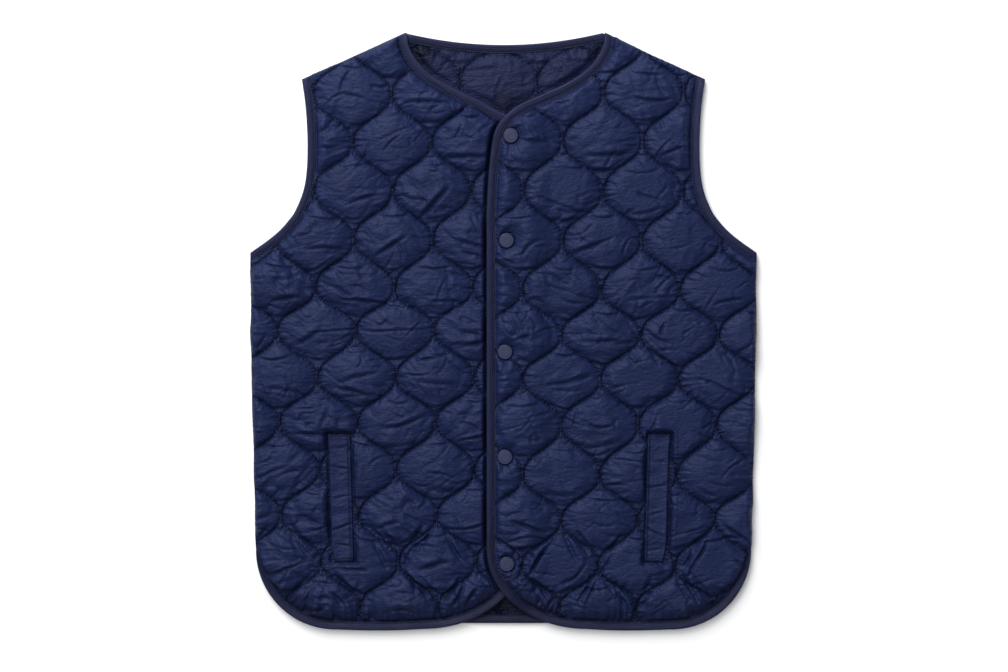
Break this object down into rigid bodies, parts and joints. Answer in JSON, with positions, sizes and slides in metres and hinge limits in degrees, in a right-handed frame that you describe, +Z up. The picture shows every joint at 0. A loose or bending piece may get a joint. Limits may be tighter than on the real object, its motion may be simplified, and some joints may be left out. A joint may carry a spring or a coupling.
{
  "type": "quilted vest (laid flat)",
  "caption": "Sleeveless quilted vest laid flat, front up, with a shallow collarless neckline, bound edges, welt pockets and a front closed by snaps.",
  "frame": {"origin": "centre of the flat underside of the vest, halfway across and halfway along its bounding box", "axes": "+X to the viewer's right across the vest, +Y towards the neck, +Z up off the surface that it lies on"},
  "size_m": [0.507, 0.599, 0.0169],
  "materials": {
    "shell": "navy woven nylon with a soft sheen, quilted",
    "binding": "matte navy woven tape",
    "snap": "matte navy moulded plastic"
  },
  "bodies": {
    "root": {"back": "shell", "front_left": "shell", "front_right": "shell", "edge_binding_left": "binding", "edge_binding_right": "binding", "neck_binding_back": "binding", "hem_binding_back": "binding", "armhole_binding_front_left": "binding", "armhole_binding_front_right": "binding", "armhole_binding_back_left": "binding", "armhole_binding_back_right": "binding", "welt_left": "shell", "welt_right": "shell", "snap_cap_1": "snap", "snap_cap_2": "snap", "snap_cap_3": "snap", "snap_cap_4": "snap", "snap_cap_5": "snap", "snap_stud_1": "snap", "snap_stud_2": "snap", "snap_stud_3": "snap", "snap_stud_4": "snap", "snap_stud_5": "snap"}
  },
  "joints": []
}
